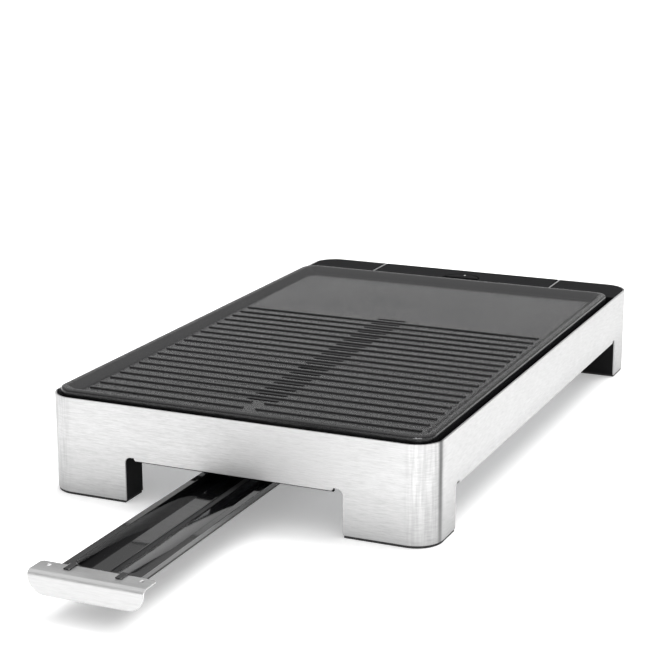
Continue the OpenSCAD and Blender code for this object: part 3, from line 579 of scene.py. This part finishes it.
class GRIDDLE_OT_stage(bpy.types.Operator):
    """Set up the pale floor, the soft lights and the camera"""

    bl_idname = "griddle.stage"
    bl_label = "Studio"

    def execute(self, context):
        scene = context.scene
        scene.view_settings.view_transform = "Standard"
        self.lay_floor(scene)
        self.light_world(scene)
        self.hang_ceiling(scene)
        self.hang_softbox(scene)
        self.place_camera(scene)
        return {"FINISHED"}

    def lay_floor(self, scene):
        bm = bmesh.new()
        reach = scene.griddle_sizes.floor_reach
        bmesh.ops.create_circle(bm, cap_ends=True, segments=96, radius=reach)
        mesh = bpy.data.meshes.new("floor")
        bm.to_mesh(mesh)
        bm.free()
        floor = bpy.data.objects.new("floor", mesh)
        scene.collection.objects.link(floor)
        paint = Finish("floor_paint")
        soft = paint.grain(0.8, 2.0)
        base = scene.griddle_colours.floor
        paint.set(Base_Color=paint.tint(soft, shade(base, 0.99), shade(base, 1.01)), Roughness=0.9)
        paint.shader.inputs["Specular IOR Level"].default_value = 0.1
        paint.shader.inputs["Emission Color"].default_value = (1.0, 1.0, 1.0, 1.0)
        paint.shader.inputs["Emission Strength"].default_value = FLOOR_GLOW
        mesh.materials.append(paint.made)

    def light_world(self, scene):
        world = bpy.data.worlds.new("studio")
        world.use_nodes = True
        nodes, links = world.node_tree.nodes, world.node_tree.links
        parts = nodes.new("ShaderNodeSeparateXYZ")
        links.new(nodes.new("ShaderNodeTexCoord").outputs["Generated"], parts.inputs[0])
        dome = nodes.new("ShaderNodeValToRGB")
        links.new(parts.outputs["Z"], dome.inputs["Fac"])
        stops = dome.color_ramp.elements
        while len(stops) < len(DOME):
            stops.new(1.0)
        for stop, (height, level) in zip(stops, DOME):
            stop.position = height
            stop.color = (level, level, level, 1.0)
        wall = nodes["Background"]
        links.new(dome.outputs["Color"], wall.inputs["Color"])
        wall.inputs["Strength"].default_value = DOME_STRENGTH
        # past the floor's edge, white stands behind the object in place of the dome
        backdrop = nodes.new("ShaderNodeBackground")
        mix = nodes.new("ShaderNodeMixShader")
        links.new(nodes.new("ShaderNodeLightPath").outputs["Is Camera Ray"], mix.inputs[0])
        links.new(wall.outputs[0], mix.inputs[1])
        links.new(backdrop.outputs[0], mix.inputs[2])
        links.new(mix.outputs[0], nodes["World Output"].inputs["Surface"])
        backdrop.inputs["Color"].default_value = (1.0, 1.0, 1.0, 1.0)
        scene.world = world

    def hang_ceiling(self, scene):
        """Broad overhead light that casts the floor's shadows and makes no glare."""
        lamp = bpy.data.lights.new("ceiling", "SUN")
        lamp.energy = CEILING_POWER
        lamp.angle = math.radians(CEILING_SPREAD)
        made = bpy.data.objects.new("ceiling", lamp)
        scene.collection.objects.link(made)
        aim = Vector(CEILING_TOWARDS)
        made.matrix_world = aim.to_track_quat("-Z", "Y").to_matrix().to_4x4()
        made.visible_glossy = False

    def hang_softbox(self, scene):
        """Box in front that only shows as a sheen on the steel."""
        lamp = bpy.data.lights.new("front_box", "AREA")
        lamp.shape = "RECTANGLE"
        lamp.size, lamp.size_y = SOFTBOX_SIZE
        lamp.energy = SOFTBOX_POWER
        made = bpy.data.objects.new("front_box", lamp)
        scene.collection.objects.link(made)
        aim = Vector(SOFTBOX_TARGET) - Vector(SOFTBOX_PLACE)
        turned = aim.to_track_quat("-Z", "Y").to_matrix().to_4x4()
        made.matrix_world = Matrix.Translation(SOFTBOX_PLACE) @ turned
        made.visible_camera = made.visible_diffuse = False

    def place_camera(self, scene):
        lens = bpy.data.cameras.new("camera")
        lens.sensor_width = CAMERA_SENSOR
        lens.lens = CAMERA_LENS
        lens.clip_start, lens.clip_end = 0.05, 60.0
        lens.dof.use_dof = False
        camera = bpy.data.objects.new("camera", lens)
        scene.collection.objects.link(camera)
        turned = (
            Matrix.Rotation(math.radians(CAMERA_YAW), 3, "Z")
            @ Matrix.Rotation(math.radians(90.0 - CAMERA_PITCH), 3, "X")
            @ Matrix.Rotation(math.radians(-CAMERA_ROLL), 3, "Z")
        )
        camera.matrix_world = Matrix.Translation(CAMERA_PLACE) @ turned.to_4x4()
        scene.camera = camera


class GRIDDLE_PT_panel(bpy.types.Panel):
    """Sizes, colours and build steps of the griddle"""

    bl_label = "Griddle"
    bl_idname = "GRIDDLE_PT_panel"
    bl_space_type = "VIEW_3D"
    bl_region_type = "UI"
    bl_category = "Griddle"

    def draw(self, context):
        column = self.layout.column()
        for group in (context.scene.griddle_sizes, context.scene.griddle_colours):
            for name in group.__annotations__:
                column.prop(group, name)
        for step in STEPS:
            column.operator(step.bl_idname)


STEPS = (
    GRIDDLE_OT_finishes,
    GRIDDLE_OT_steel_band,
    GRIDDLE_OT_frame,
    GRIDDLE_OT_plate,
    GRIDDLE_OT_control,
    GRIDDLE_OT_tray,
    GRIDDLE_OT_stage,
)
CLASSES = (GriddleSizes, GriddleColours, *STEPS, GRIDDLE_PT_panel)


def register():
    for cls in CLASSES:
        bpy.utils.register_class(cls)
    bpy.types.Scene.griddle_sizes = PointerProperty(type=GriddleSizes)
    bpy.types.Scene.griddle_colours = PointerProperty(type=GriddleColours)


def unregister():
    del bpy.types.Scene.griddle_colours
    del bpy.types.Scene.griddle_sizes
    for cls in reversed(CLASSES):
        bpy.utils.unregister_class(cls)


def main():
    register()
    bpy.ops.griddle.finishes()
    bpy.ops.griddle.steel_band()
    bpy.ops.griddle.frame()
    bpy.ops.griddle.plate()
    bpy.ops.griddle.control()
    bpy.ops.griddle.tray()
    bpy.ops.griddle.stage()


if __name__ == "__main__":
    main()
